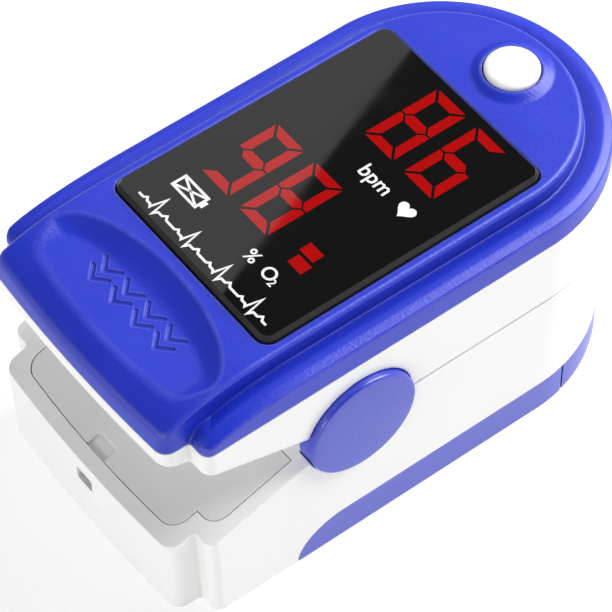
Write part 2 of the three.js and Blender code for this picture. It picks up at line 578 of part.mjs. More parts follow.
const [, rearScrewX, rearScrewY] = SCREW_SPOTS[1];
const screwNotches = bothSides((side) => cylinderZ(1.8, 0, FAR, side * rearScrewX, rearScrewY, 14));
const upperPad = fingerPad(UPPER_BASE_Z + 0.1, WEB_LOW_Z - GAP).subtract(screwNotches);
place(upperJaw, "upper_finger_pad", upperPad, SILICONE);
place(upperJaw, "emitter_window", block(-2.9, 2.9, SENSOR_Y - 3.5, SENSOR_Y + 3.5, 21.0, 21.7), CLEAR_LENS);
place(upperJaw, "led_emitter", block(-1.5, 1.5, SENSOR_Y - 1.5, SENSOR_Y + 1.5, 22.0, 23.1), DARK_PLASTIC);
place(upperJaw, "board_connector", block(-2.4, 2.4, -9.2, -6.4, 22.1, 23.1), DARK_PLASTIC);
const tailPath = [[-7.8, 21.8], [-7.9, 20.3], [-8.1, 18.8], [-8.2, 17.4]];
place(upperJaw, "flex_tail", ribbon(tailPath, 1.2, 0.25), FLEX_AMBER);

for (const [end, x, y] of SCREW_SPOTS) {
  for (const [word, side] of SIDES) {
    place(upperJaw, `cover_screw_${end}_${word}`, screw(side * x, y, 21.2, 22.2, 26.2), STEEL);
  }
}

// ---------------------------------------------------------------- power button
function powerButton() {
  const domeHeight = 0.6;
  const domeStart = BUTTON_TOP_Z - domeHeight;
  const profile = [[0, 26.2], [BUTTON_FLANGE_RADIUS, 26.2], [BUTTON_FLANGE_RADIUS, 27.0],
    [BUTTON_RADIUS, 27.0], [BUTTON_RADIUS, domeStart]];
  const steps = 5;
  for (let step = 1; step <= steps; step += 1) {
    const angle = (Math.PI / 2) * (step / steps);
    profile.push([BUTTON_RADIUS * Math.cos(angle), domeStart + domeHeight * Math.sin(angle)]);
  }
  profile[profile.length - 1][0] = 0;
  return turnedZ(profile, 0, BUTTON_Y, 24);
}
place(button, "power_button", powerButton(), BUTTON_WHITE);

export default assembly;
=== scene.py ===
"""Looks of a fingertip pulse oximeter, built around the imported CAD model.

Moulded shells are written as distance fields in millimetres, meshed on a grid and moved onto the exact
surface. Turned pieces are lathed. Every piece rides on a CAD body, and every finish is made of nodes.
"""
import json
import math

import bmesh
import bpy
import numpy as np
from mathutils import Matrix, Vector

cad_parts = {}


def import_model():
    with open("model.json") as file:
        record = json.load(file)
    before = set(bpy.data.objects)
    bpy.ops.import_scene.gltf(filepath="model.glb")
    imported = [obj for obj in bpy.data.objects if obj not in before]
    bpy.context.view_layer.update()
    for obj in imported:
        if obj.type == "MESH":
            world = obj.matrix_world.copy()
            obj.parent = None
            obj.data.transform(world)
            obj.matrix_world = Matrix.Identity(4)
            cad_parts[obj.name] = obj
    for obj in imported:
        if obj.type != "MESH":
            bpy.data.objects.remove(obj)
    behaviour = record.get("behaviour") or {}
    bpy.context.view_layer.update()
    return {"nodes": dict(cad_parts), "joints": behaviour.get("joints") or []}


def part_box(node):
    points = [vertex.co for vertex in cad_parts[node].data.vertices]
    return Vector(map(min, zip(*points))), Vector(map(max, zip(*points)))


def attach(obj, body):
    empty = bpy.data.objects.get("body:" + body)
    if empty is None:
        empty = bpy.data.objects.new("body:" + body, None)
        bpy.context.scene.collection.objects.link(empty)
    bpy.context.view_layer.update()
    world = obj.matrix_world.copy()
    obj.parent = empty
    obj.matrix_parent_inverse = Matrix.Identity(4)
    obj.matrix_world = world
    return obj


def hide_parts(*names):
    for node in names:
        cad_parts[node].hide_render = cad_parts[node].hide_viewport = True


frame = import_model()
MM = 0.001


# ---------------- sizes, read from the frame
def span(node):
    """A node's lowest and highest corner, in millimetres."""
    low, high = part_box(node)
    return np.array(low) / MM, np.array(high) / MM


def joint_point(name):
    joint = next(j for j in frame["joints"] if j["name"] == name)
    return np.array(joint["pos_m"]) / MM


COVER = span("top_cover")
UPPER = span("upper_frame")
LOWER = span("lower_housing")
PANEL = span("deck_panel")
BAND = span("side_band_right")
DOOR = span("battery_door")
GLASS = span("display_glass")
BUTTON = span("power_button")
CAP = span("pivot_cap_right")
LOWER_PAD = span("lower_finger_pad")
UPPER_PAD = span("upper_finger_pad")
PIVOT = joint_point("jaw_hinge")

HALF_WIDTH = COVER[1][0]
FRONT_Y, REAR_Y = COVER[0][1], COVER[1][1]
REAR_CENTRE_Y = REAR_Y - HALF_WIDTH
SNOUT_HALF_WIDTH = HALF_WIDTH - 2.35
PLATFORM_HALF_WIDTH = HALF_WIDTH - 2.85
SHOULDER_FRONT_Y = FRONT_Y + 3.25
SHOULDER_CORNER = 1.1
SNOUT_CORNER = 1.3
SNOUT_BOW = 0.5
WALL = 1.4
COVER_BASE_Z = COVER[0][2] + 0.05
PLATFORM_Z = GLASS[1][2] - 0.56
LEDGE_Z = PLATFORM_Z - 1.75
PARTING_Z = PIVOT[2] + 0.1
PARTING_GAP = 0.32
LOWER_SLOPE = math.tan(math.radians(18.2))
UPPER_SLOPE = math.tan(math.radians(18.8))
UNDERSIDE_AT_PIVOT_Z = PIVOT[2] - 0.2
DECK_THICKNESS = 1.1
BARREL_RADIUS = 4.9
CAP_RADIUS = (CAP[1][1] - CAP[0][1]) / 2
BUTTON_Y = (BUTTON[0][1] + BUTTON[1][1]) / 2
BUTTON_RADIUS = 2.66
BUTTON_HOLE = BUTTON_RADIUS + 0.12
FLANGE_RADIUS = (BUTTON[1][0] - BUTTON[0][0]) / 2
BUTTON_TOP_Z = BUTTON[1][2]
COLLAR_RADIUS = 4.1
COLLAR_HEIGHT = 0.6
SENSOR_Y = 4.0
SCREW_SPOTS = ((12.3, -2.0), (10.2, 19.8))
INNER_CORNER = 1.7
PAD_FRONT_Y = -4.5
TUNNEL_FRONT_Y = 20
CHANNEL = (8.6, 5.1, 4.5)
ARM_INNER_X = 10.9
ARM_OUTER_X = 12.3
HUB_INNER_X = 12.6
CAP_SEAT_X = 13.9
INTO_WALL_X = 14.3
WEB_LOW_Z = 22.5
WEB_TOP_Z = 23.1
PLENTY = 100.0
SIDES = (("left", -1), ("right", 1))


# ---------------- distance fields
def hypot(a, b):
    return np.sqrt(a * a + b * b)


def meet(a, b, r=0.0):
    """What is inside both, with the edge between them rounded to r."""
    if r == 0.0:
        return np.maximum(a, b)
    return np.minimum(np.maximum(a, b), -r) + hypot(np.maximum(a + r, 0), np.maximum(b + r, 0))


def join(a, b, r=0.0):
    """What is inside either, with the inner corner between them filled to r."""
    if r == 0.0:
        return np.minimum(a, b)
    return np.maximum(np.minimum(a, b), r) - hypot(np.maximum(r - a, 0), np.maximum(r - b, 0))


def cut(a, b, r=0.0):
    return meet(a, -b, r)


def slab(value, low, high):
    return np.maximum(low - value, value - high)


def block(x, y, z, low, high, r=0.0):
    """A box between two corners, with its edges rounded to r."""
    body = meet(slab(x, low[0], high[0]), slab(y, low[1], high[1]), r)
    return meet(body, slab(z, low[2], high[2]), r)


def disc_x(x, y, z, radius, x_low, x_high, r=0.0):
    """A disc about the jaw pivot."""
    return meet(hypot(y - PIVOT[1], z - PIVOT[2]) - radius, slab(x, x_low, x_high), r)


def post_z(x, y, z, radius, z_low, z_high, centre):
    """An upright cylinder."""
    return meet(hypot(x - centre[0], y - centre[1]) - radius, slab(z, z_low, z_high))


def ellipse(u, v, a, b):
    """Roughly the distance to an ellipse with half axes a and b."""
    tiny = 1e-4
    near = np.maximum(hypot(u / a, v / b), tiny)
    slope = np.maximum(hypot(u / a**2, v / b**2), tiny / max(a, b))
    return near * (near - 1) / slope


def round_corner(u, v, corner):
    """What is inside u and v once each is moved out by corner, with a round corner between them."""
    return hypot(np.maximum(u, 0), np.maximum(v, 0)) + np.minimum(np.maximum(u, v), 0) - corner


def plan(x, y, half, front, corner, bow=0.0):
    """A plan outline with rounded front corners and a round rear end."""
    reach = front + bow * np.minimum((x / half) ** 2, 1.0)
    side = np.abs(x) - half + corner
    ahead = reach + corner - y
    return np.where(y > REAR_CENTRE_Y, hypot(x, y - REAR_CENTRE_Y) - half, round_corner(side, ahead, corner))


def wide_plan(x, y):
    return plan(x, y, HALF_WIDTH, SHOULDER_FRONT_Y, SHOULDER_CORNER)


def snout_plan(x, y):
    return plan(x, y, SNOUT_HALF_WIDTH, FRONT_Y, SNOUT_CORNER, SNOUT_BOW)


def outline(x, y):
    """The stepped outline of both jaws."""
    return join(wide_plan(x, y), snout_plan(x, y), 0.3)


def inner_plan(x, y):
    """The inside of the walls in plan: two outlines with rounded corners that meet in a sharp notch."""
    wide = plan(x, y, HALF_WIDTH - WALL, SHOULDER_FRONT_Y + WALL, INNER_CORNER)
    return join(wide, plan(x, y, SNOUT_HALF_WIDTH - WALL, FRONT_Y + WALL, INNER_CORNER, SNOUT_BOW))


def deck(y, z):
    """Above the lower jaw's deck this is positive: level behind the pivot, falling to the front."""
    fall = LOWER_SLOPE * np.minimum(y - PIVOT[1], 0)
    return (z - (PARTING_Z - PARTING_GAP / 2) - fall) / math.hypot(1, LOWER_SLOPE)


def underside(y, z):
    """Below the upper jaw's underside this is positive."""
    slope = (UNDERSIDE_AT_PIVOT_Z + UPPER_SLOPE * (PIVOT[1] - y) - z) / math.hypot(1, UPPER_SLOPE)
    return np.where(y < PIVOT[1], slope, -PLENTY)


def tunnel(x, z, half, up, down):
    """The oval finger channel about the parting line."""
    lift = z - PARTING_Z
    return np.where(lift > 0, ellipse(x, lift, half, up), ellipse(x, lift, half, down))


def rounded_rectangle(x, y, low, high, corner):
    middle = (np.array(low) + np.array(high)) / 2
    half = (np.array(high) - np.array(low)) / 2
    u = np.abs(x - middle[0]) - half[0] + corner
    v = np.abs(y - middle[1]) - half[1] + corner
    return round_corner(u, v, corner)


def smooth_step(value, low, high):
    t = np.clip((value - low) / (high - low), 0, 1)
    return t * t * (3 - 2 * t)


# ---------------- from a field to a mesh
def gradient(field, points, reach=0.04):
    parts = []
    for axis in range(3):
        offset = np.zeros(3)
        offset[axis] = reach
        ahead, behind = points + offset, points - offset
        parts.append(field(*ahead.T) - field(*behind.T))
    return np.stack(parts, 1) / (2 * reach)


def unit(vectors):
    return vectors / np.maximum(np.linalg.norm(vectors, axis=1, keepdims=True), 1e-9)


def surface_net(field, low, high, step):
    """Vertices and quads of the field's zero surface, one vertex for each cell it passes through.

    Each vertex starts near where the tangent planes round it meet, so edges and corners stay crisp.
    """
    axes = [np.arange(a - 1.5 * step, b + 2.5 * step, step) for a, b in zip(low, high)]
    shape = tuple(len(a) for a in axes)
    values = np.broadcast_to(field(*np.meshgrid(*axes, indexing="ij", sparse=True)), shape)
    inside = values < 0
    strides = (shape[1] * shape[2], shape[2], 1)
    cells, points = [], []
    for axis in range(3):
        first = tuple(slice(0, -1) if a == axis else slice(None) for a in range(3))
        second = tuple(slice(1, None) if a == axis else slice(None) for a in range(3))
        found = np.argwhere(inside[first] != inside[second])
        near, far = values[first][tuple(found.T)], values[second][tuple(found.T)]
        place = found.astype(float)
        place[:, axis] += near / (near - far)
        flat = found @ np.array(strides)
        u, v = strides[(axis + 1) % 3], strides[(axis + 2) % 3]
        corners = np.stack([flat, flat - u, flat - u - v, flat - v], 1)
        leaving = (near < 0)[:, None]
        cells.append(np.where(leaving, corners, corners[:, ::-1]).ravel())
        points.append(place)
    names, index = np.unique(np.concatenate(cells), return_inverse=True)
    index = index.ravel()
    crossings = settle(field, np.array([a[0] for a in axes]) + np.concatenate(points) * step, step, 2)
    normals = np.repeat(unit(gradient(field, crossings, 0.01)), 4, axis=0)
    crossings = np.repeat(crossings, 4, axis=0)
    total = len(names)

    def gather(weights):
        return np.bincount(index, weights, total)

    count = gather(np.ones(len(index)))
    mean = np.stack([gather(crossings[:, a]) for a in range(3)], 1) / count[:, None]
    height = (normals * (crossings - mean[index])).sum(1)
    pull = np.stack([gather(normals[:, a] * height) for a in range(3)], 1)
    spread = np.zeros((total, 3, 3))
    for a in range(3):
        for b in range(a, 3):
            spread[:, a, b] = spread[:, b, a] = gather(normals[:, a] * normals[:, b])
    spread += 0.12 * np.eye(3)
    move = np.linalg.solve(spread, pull[:, :, None])[:, :, 0]
    vertices = mean + np.clip(move, -0.6 * step, 0.6 * step)
    return settle(field, vertices, step, 3), index.reshape(-1, 4)


def settle(field, vertices, step, rounds=4):
    """Moves vertices along the field's gradient onto its zero surface."""
    for _ in range(rounds):
        slope = gradient(field, vertices)
        size = np.maximum((slope**2).sum(1), 0.2)
        move = np.clip(field(*vertices.T) / size, -step / 2, step / 2)
        vertices = vertices - slope * move[:, None]
    return vertices


def corner_samples(mesh):
    """A point in millimetres for each face corner, a little way in from the corner."""
    count = len(mesh.vertices)
    points = np.zeros(count * 3)
    mesh.vertices.foreach_get("co", points)
    points = points.reshape(-1, 3) / MM
    starts = np.zeros(len(mesh.polygons), int)
    totals = np.zeros(len(mesh.polygons), int)
    mesh.polygons.foreach_get("loop_start", starts)
    mesh.polygons.foreach_get("loop_total", totals)
    corners = np.zeros(len(mesh.loops), int)
    mesh.loops.foreach_get("vertex_index", corners)
    face = np.repeat(np.arange(len(starts)), totals)
    sums = [np.bincount(face, points[corners, a], len(starts)) for a in range(3)]
    middle = np.stack(sums, 1) / totals[:, None]
    inward = middle[face] - points[corners]
    length = np.linalg.norm(inward, axis=1, keepdims=True)
    return points[corners] + inward * np.minimum(0.4, 0.2 / np.maximum(length, 1e-6))


def bend(field, points):
    """How sharply the surface turns: positive on outer edges, negative in creases, near zero on flats."""
    reach = 0.22
    total = -6 * field(*points.T)
    for axis in range(3):
        offset = np.zeros(3)
        offset[axis] = reach
        total = total + field(*(points + offset).T) + field(*(points - offset).T)
    return np.clip(total / reach, -1, 1)


def new_object(name, mesh):
    piece = bpy.data.objects.new(name, mesh)
    bpy.context.scene.collection.objects.link(piece)
    return piece


def mesh_from(name, vertices, faces):
    mesh = bpy.data.meshes.new(name)
    mesh.from_pydata((np.asarray(vertices) * MM).tolist(), [], [list(map(int, f)) for f in faces])
    mesh.update()
    return mesh


def moulded(node, ending, field, low, high, step, material, body, slot, refine=None):
    """A shell meshed from its field, with the field's own normals, in place of one CAD node.

    refine(mesh) may add detail before the normals are set.
    """
    name = f"{node}_{ending}"
    vertices, quads = surface_net(field, low, high, step)
    mesh = mesh_from(name, vertices, quads)
    piece = new_object(name, mesh)
    if refine:
        refine(mesh)
    mesh.polygons.foreach_set("use_smooth", [True] * len(mesh.polygons))
    samples = corner_samples(mesh)
    turn = bend(field, samples).astype(np.float32)
    mesh.attributes.new("bend", "FLOAT", "CORNER").data.foreach_set("value", turn)
    mesh.normals_split_custom_set(unit(gradient(field, samples, 0.03)).tolist())
    mesh.update()
    return dress(piece, material, body, [node])


def lathed(name, profile, centre, side=0, segments=96):
    """Turns a profile of (radius, height) points that starts and ends on the axis.

    The axis points up, or out to the left or right where side is -1 or 1.
    """
    angles = np.linspace(0, 2 * math.pi, segments, endpoint=False)
    rings, faces = [], []
    for radius, height in profile[1:-1]:
        rings.append([(radius * math.cos(a), radius * math.sin(a), height) for a in angles])
    vertices = [(0, 0, profile[0][1])] + [p for ring in rings for p in ring] + [(0, 0, profile[-1][1])]
    last = len(vertices) - 1
    for k in range(segments):
        after = (k + 1) % segments
        faces.append((0, 1 + after, 1 + k))
        for ring in range(len(rings) - 1):
            a, b = 1 + ring * segments, 1 + (ring + 1) * segments
            faces.append((a + k, a + after, b + after, b + k))
        top = 1 + (len(rings) - 1) * segments
        faces.append((top + k, top + after, last))
    points = np.array(vertices, float)
    if side:
        points = np.stack([side * points[:, 2], points[:, 0], side * points[:, 1]], 1)
    mesh = mesh_from(name, points + np.array(centre), faces)
    mesh.polygons.foreach_set("use_smooth", [True] * len(mesh.polygons))
    mesh.set_sharp_from_angle(angle=math.radians(40))
    return new_object(name, mesh)


def loft(rings):
    """Vertices and faces of a solid that runs up through equal rings of points, with flat ends."""
    count = len(rings[0])
    vertices = [point for ring in rings for point in ring]
    faces = [tuple(reversed(range(count)))]
    for first in range(0, len(vertices) - count, count):
        for k in range(count):
            low, after = first + k, first + (k + 1) % count
            faces.append((low, after, after + count, low + count))
    faces.append(tuple(range(len(vertices) - count, len(vertices))))
    return vertices, faces


def arc(centre, radius, start, end, steps):
    """Profile points round an arc, in degrees."""
    angles = np.radians(np.linspace(start, end, steps + 1))
    return [(centre[0] + radius * math.cos(a), centre[1] + radius * math.sin(a)) for a in angles]


# ---------------- finishes
def set_input(node, name, value):
    if isinstance(value, bpy.types.NodeSocket):
        node.id_data.links.new(value, node.inputs[name])
    else:
        node.inputs[name].default_value = value


def wire(shader, **inputs):
    """Sets several of a shader's inputs, named with underscores for spaces."""
    for name, value in inputs.items():
        set_input(shader, name.replace("_", " "), value)


class Nodes:
    """Adds nodes, named without ShaderNode, with inputs given as values or as other nodes' outputs."""

    def __init__(self, tree):
        self.tree = tree

    def add(self, kind, inputs=(), **settings):
        node = self.tree.nodes.new("ShaderNode" + kind)
        for key, value in settings.items():
            setattr(node, key, value)
        for name, value in dict(inputs).items():
            set_input(node, name, value)
        return node

    def place(self, stretch=(1.0, 1.0, 1.0)):
        """Object coordinates in millimetres, stretched."""
        here = self.add("TexCoord").outputs["Object"]
        scale = tuple(s / MM for s in stretch)
        return self.add("VectorMath", {0: here, 1: scale}, operation="MULTIPLY").outputs[0]

    def noise(self, where, size, detail=2.0, roughness=0.5):
        """Noise with features of about size millimetres, from 0 to 1."""
        inputs = {"Vector": where, "Scale": 1 / size, "Detail": detail, "Roughness": roughness}
        return self.add("TexNoise", inputs).outputs[0]

    def remap(self, value, low, high, to_low, to_high, smooth=False):
        inputs = {"Value": value, "From Min": low, "From Max": high, "To Min": to_low, "To Max": to_high}
        kind = "SMOOTHSTEP" if smooth else "LINEAR"
        return self.add("MapRange", inputs, interpolation_type=kind).outputs[0]

    def math(self, operation, a, b=0.0):
        return self.add("Math", {0: a, 1: b}, operation=operation).outputs[0]

    def mix(self, share, a, b):
        """Colour a where share is 0 and b where it is 1."""
        return self.add("Mix", {0: share, 6: a, 7: b}, data_type="RGBA").outputs[2]

    def bump(self, height, depth):
        """Bump whose heights run over depth millimetres."""
        inputs = {"Height": height, "Distance": depth * MM, "Strength": 1.0}
        return self.add("Bump", inputs).outputs[0]


def shade(colour, factor):
    return tuple(min(1.0, c * factor) for c in colour[:3]) + (1.0,)


def from_srgb(red, green, blue):
    """A display colour, 0 to 255, as linear light."""
    parts = [c / 255 for c in (red, green, blue)]
    return tuple(p / 12.92 if p <= 0.04045 else ((p + 0.055) / 1.055) ** 2.4 for p in parts) + (1.0,)


def finish(name, display, roughness, **shader):
    """A material of a display colour, the maker of its nodes and its principled shader."""
    material = bpy.data.materials.new(name)
    material.use_nodes = True
    nodes = Nodes(material.node_tree)
    principled = material.node_tree.nodes["Principled BSDF"]
    wire(principled, Base_Color=from_srgb(*display), Roughness=roughness, **shader)
    return material, nodes, principled


def moulded_plastic(name, display, roughness, grain, depth, mottle=0.05, edge=0.15, painted_hollow_shade=0.0, **shader):
    """Injection-moulded plastic: fine grain, uneven gloss, pale edges of wear and painted highlight, painted
    shade in creases and, where asked, in hollows.
    """
    material, nodes, principled = finish(name, display, roughness, **shader)
    colour = from_srgb(*display)
    here = nodes.place()
    fine = nodes.noise(here, grain, detail=3.0, roughness=0.6)
    broad = nodes.noise(here, 9.0, detail=3.0)
    patch = nodes.noise(here, 2.4, detail=4.0, roughness=0.6)
    cloud = nodes.remap(broad, 0.3, 0.7, 0, 1)
    tint = nodes.mix(cloud, shade(colour, 1 - mottle), shade(colour, 1 + mottle))
    turn = nodes.add("Attribute", attribute_name="bend").outputs["Fac"]
    # Pale edges: where the surface turns outward the colour pales, partly rubbed wear and partly painted
    # highlight.
    wear_and_highlight = nodes.remap(turn, 0.15, 0.8, 0, edge)
    rubbed_and_highlit = nodes.math("MULTIPLY", wear_and_highlight, nodes.remap(patch, 0.3, 0.6, 0.3, 1))
    pale = tuple(c + (1 - c) * 0.35 for c in colour[:3]) + (1.0,)
    tint = nodes.mix(rubbed_and_highlit, tint, pale)
    # Painted shade: where the surface turns inward, in creases, the colour darkens towards 0.6 of itself.
    tint = nodes.mix(nodes.remap(turn, -0.15, -0.8, 0, edge), tint, shade(colour, 0.6))
    # Painted shade: where the piece's own shape shuts a spot in, within 1.8 mm, the colour darkens towards a
    # quarter of itself.
    if painted_hollow_shade:
        sky = nodes.add("AmbientOcclusion", {"Distance": 1.8 * MM}, only_local=True, samples=6)
        shut_in = nodes.remap(sky.outputs["AO"], 0.97, 0.5, 0, painted_hollow_shade)
        tint = nodes.mix(shut_in, tint, shade(colour, 0.25))
    handled = nodes.noise(here, 6.0, detail=1.0)
    gloss = nodes.remap(handled, 0.3, 0.7, roughness - 0.03, roughness + 0.03)
    wire(principled, Base_Color=tint, Roughness=gloss, Normal=nodes.bump(fine, depth))
    return material


BLUE = (25, 47, 192)
# The cover takes painted shade in its hollows as well as in its creases.
COVER_BLUE = moulded_plastic("cover_blue", BLUE, 0.34, grain=0.26, depth=0.032, mottle=0.04, painted_hollow_shade=0.45,
                             Specular_IOR_Level=0.5)
# Painted light: the side bands take a paler copy of the cover blue, standing in for the brighter light on
# the sides.
LIT_BAND_BLUE = moulded_plastic("lit_band_blue", (60, 72, 196), 0.34, grain=0.2, depth=0.01, mottle=0.04,
                            Specular_IOR_Level=1.0)
GLOSS_BLUE = moulded_plastic("gloss_blue", BLUE, 0.28, grain=0.6, depth=0.002, mottle=0.03,
                             Specular_IOR_Level=1.0)
WHITE = moulded_plastic("housing_white", (242, 242, 241), 0.25, grain=0.8, depth=0.003, mottle=0.012,
                        edge=0.3, Specular_IOR_Level=0.9)
# Painted shade: the deck panel takes a greyer copy of the housing white, standing in for the shade that lies
# on the deck.
SHADED_PANEL_WHITE = moulded_plastic("panel_white", (226, 226, 226), 0.4, grain=0.2, depth=0.003, mottle=0.02)
BUTTON_WHITE = moulded_plastic("button_white", (250, 250, 250), 0.16, grain=1.2, depth=0.002, mottle=0.01,
                               edge=0.0, Coat_Weight=0.5)
TRAY_WHITE = moulded_plastic("tray_white", (205, 205, 202), 0.5, grain=0.25, depth=0.006)
BLACK_PLASTIC = moulded_plastic("black_plastic", (28, 28, 30), 0.45, grain=0.1, depth=0.004)
SLEEVE = moulded_plastic("battery_sleeve", (50, 54, 60), 0.28, grain=0.9, depth=0.006, Coat_Weight=0.4)
FLEX = moulded_plastic("flex_film", (182, 112, 28), 0.35, grain=0.5, depth=0.004)
BOARD = moulded_plastic("circuit_board", (28, 90, 54), 0.4, grain=0.35, depth=0.01)


def silicone():
    material, nodes, principled = finish("silicone", (56, 60, 68), 0.65, Sheen_Weight=0.25)
    here = nodes.place()
    fine = nodes.noise(here, 0.09, detail=3.0)
    dust = nodes.noise(here, 0.5, detail=5.0, roughness=0.7)
    tint = nodes.mix(nodes.remap(dust, 0.35, 0.75, 0, 1), from_srgb(50, 54, 61), from_srgb(70, 74, 82))
    gloss = nodes.remap(dust, 0.3, 0.7, 0.56, 0.76)
    wire(principled, Base_Color=tint, Roughness=gloss, Normal=nodes.bump(fine, 0.008))
    return material


def steel():
    material, nodes, principled = finish("steel", (190, 192, 196), 0.3, Metallic=1.0)
    drawn = nodes.noise(nodes.place((0.15, 1.0, 1.0)), 0.08, detail=3.0)
    patch = nodes.noise(nodes.place(), 1.5, detail=3.0)
    gloss = nodes.remap(patch, 0.3, 0.7, 0.22, 0.4)
    tint = nodes.mix(patch, from_srgb(176, 178, 182), from_srgb(202, 203, 206))
    wire(principled, Base_Color=tint, Roughness=gloss, Normal=nodes.bump(drawn, 0.003))
    return material


def dark_glass():
    """The display window: black behind a polished face, with the faintest haze."""
    material, nodes, principled = finish("display_glass", (8, 8, 8), 0.03, IOR=1.5)
    haze = nodes.noise(nodes.place(), 6.0, detail=5.0, roughness=0.6)
    tint = nodes.mix(haze, from_srgb(6, 6, 6), from_srgb(10, 10, 10))
    wire(principled, Base_Color=tint, Roughness=nodes.remap(haze, 0.35, 0.75, 0.02, 0.045))
    return material


def clouded(name, display, roughness, size, dark, light, low, high):
    """A smooth finish that clouds between two colours and two roughnesses."""
    material, nodes, principled = finish(name, display, roughness)
    haze = nodes.noise(nodes.place(), size, detail=3.0)
    tint = nodes.mix(haze, from_srgb(*dark), from_srgb(*light))
    wire(principled, Base_Color=tint, Roughness=nodes.remap(haze, 0.3, 0.7, low, high))
    return material


def lit_mark(name, display, glow):
    """A mark seen through the window: it gives a little light and shares the window's gloss."""
    material, nodes, principled = finish(name, display, 0.03, IOR=1.5)
    colour = from_srgb(*display)
    cell = nodes.noise(nodes.place(), 0.7, detail=2.0)
    tint = nodes.mix(cell, shade(colour, 0.9), shade(colour, 1.05))
    wire(principled, Base_Color=tint, Emission_Color=tint, Emission_Strength=glow)
    return material


SILICONE = silicone()
STEEL = steel()
DARK_GLASS = dark_glass()
GLASS_EDGE = clouded("glass_edge", (45, 45, 43), 0.15, 1.5, (40, 40, 39), (50, 50, 48), 0.12, 0.18)
CLEAR_LENS = clouded("clear_lens", (90, 34, 34), 0.12, 1.0, (82, 28, 28), (100, 42, 42), 0.08, 0.2)
RED_LIGHT = lit_mark("digit_red", (150, 0, 0), 0.28)
WHITE_INK = lit_mark("label_white", (225, 225, 225), 0.12)


def dress(piece, material, body, replaces=()):
    """Gives a piece its material, hangs it on its body and hides the CAD nodes it replaces."""
    piece.data.materials.clear()
    piece.data.materials.append(material)
    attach(piece, body)
    if replaces:
        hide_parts(*replaces)
    return piece


# ---------------- top cover
DISH_DEPTH = 1.4
DISH_Y = -22.2
DISH_HALF_LENGTH = 4.9
DISH_HALF_WIDTH = 11.9
COVER_THICKNESS = 1.3
GLASS_CORNER = 1.25
POCKET_GAP = 0.13
LEDGE_CROWN_Y = -13.0
PLATFORM_CROWN_Y = -17.5


def crown(y, z, top, start, front, base):
    """Above a roof this is positive: level behind start, curving down to base at the front."""
    return ellipse(np.minimum(y - start, 0), np.maximum(z - base, 0), start - front, top - base)


def dish_floor(x, y):
    """Height of the thumb dish: a nearly flat floor in a hollow wall, long behind and short at the sides."""
    behind = np.clip((y - DISH_Y) / DISH_HALF_LENGTH, 0, 1)
    round_end = -ellipse(x, y - DISH_Y, DISH_HALF_WIDTH, DISH_HALF_LENGTH)
    inward = np.where(y > DISH_Y, round_end, DISH_HALF_WIDTH - np.abs(x))
    height = DISH_DEPTH * (0.5 + 0.5 * behind)
    wall = height * np.maximum(1 - inward / (2.2 + 2.4 * behind), 0) ** 2
    return PLATFORM_Z - DISH_DEPTH + 0.003 * np.minimum(x * x, 200) + wall


def cover_blank(x, y, z):
    """The cover's outer skin, open downwards."""
    wide, snout = wide_plan(x, y), snout_plan(x, y)
    bead = 0.24 * smooth_step(-wide, 0.1, 1.1) * (1 - smooth_step(-wide, 1.3, 3.0))
    ledge_roof = crown(y, z - bead, LEDGE_Z, LEDGE_CROWN_Y, SHOULDER_FRONT_Y - 0.15, COVER_BASE_Z)
    rise = z - COVER_BASE_Z
    ledge = meet(wide + 0.03 * rise, ledge_roof, 0.3)
    lean = (SNOUT_HALF_WIDTH - PLATFORM_HALF_WIDTH) / (LEDGE_Z - COVER_BASE_Z)
    leaning = (snout + lean * np.minimum(rise, LEDGE_Z - COVER_BASE_Z)) * 0.95
    side = leaning + 0.06 * np.maximum(z - LEDGE_Z, 0)
    ring = hypot(x, y - BUTTON_Y)
    collar = COLLAR_HEIGHT * (1 - smooth_step(ring, BUTTON_HOLE - 0.1, COLLAR_RADIUS))
    roof = crown(y, z, PLATFORM_Z, PLATFORM_CROWN_Y, FRONT_Y - 0.6, COVER_BASE_Z - 0.2) - 0.85 * collar
    dish = 0.85 * (z - dish_floor(x, y))
    return meet(join(ledge, meet(side, roof, 0.4), 0.2), dish, 0.15)


def cover_field(x, y, z):
    blank = cover_blank(x, y, z)
    body = meet(blank, COVER_BASE_Z - z, 0.12)
    body = cut(body, blank + COVER_THICKNESS)
    for spot_x, spot_y in SCREW_SPOTS:
        centre = (spot_x, spot_y)
        boss = post_z(np.abs(x), y, z, 1.6, COVER_BASE_Z + 0.15, LEDGE_Z - 0.4, centre)
        body = cut(join(body, boss, 0.2), post_z(np.abs(x), y, z, 0.95, 20, 26.4, centre))
    low, high = GLASS[0][:2] - POCKET_GAP, GLASS[1][:2] + POCKET_GAP
    pocket = meet(rounded_rectangle(x, y, low, high, GLASS_CORNER + POCKET_GAP), GLASS[0][2] - 0.1 - z)
    window = rounded_rectangle(x, y, (-10.5, -14.8), (10.5, 14.3), 0.6)
    body = cut(body, pocket, 0.14)
    body = cut(body, window, 0.1)
    ring = hypot(x, y - BUTTON_Y)
    body = cut(body, meet(ring - FLANGE_RADIUS - 0.3, z - PLATFORM_Z + COVER_THICKNESS))
    return cut(body, ring - BUTTON_HOLE, 0.14)


MARK_DEPTH = 0.16
MARK_HALF_STROKE = 0.2
MARK_Y = -21.6
MARK_REACH_X = 6.4
MARK_REACH_Y = 2.0


def stroke_distance(x, y, start, end):
    """Distance in plan to the line from start to end."""
    along = np.array(end, float) - np.array(start, float)
    t = np.clip(((x - start[0]) * along[0] + (y - start[1]) * along[1]) / (along @ along), 0, 1)
    return hypot(x - start[0] - t * along[0], y - start[1] - t * along[1])


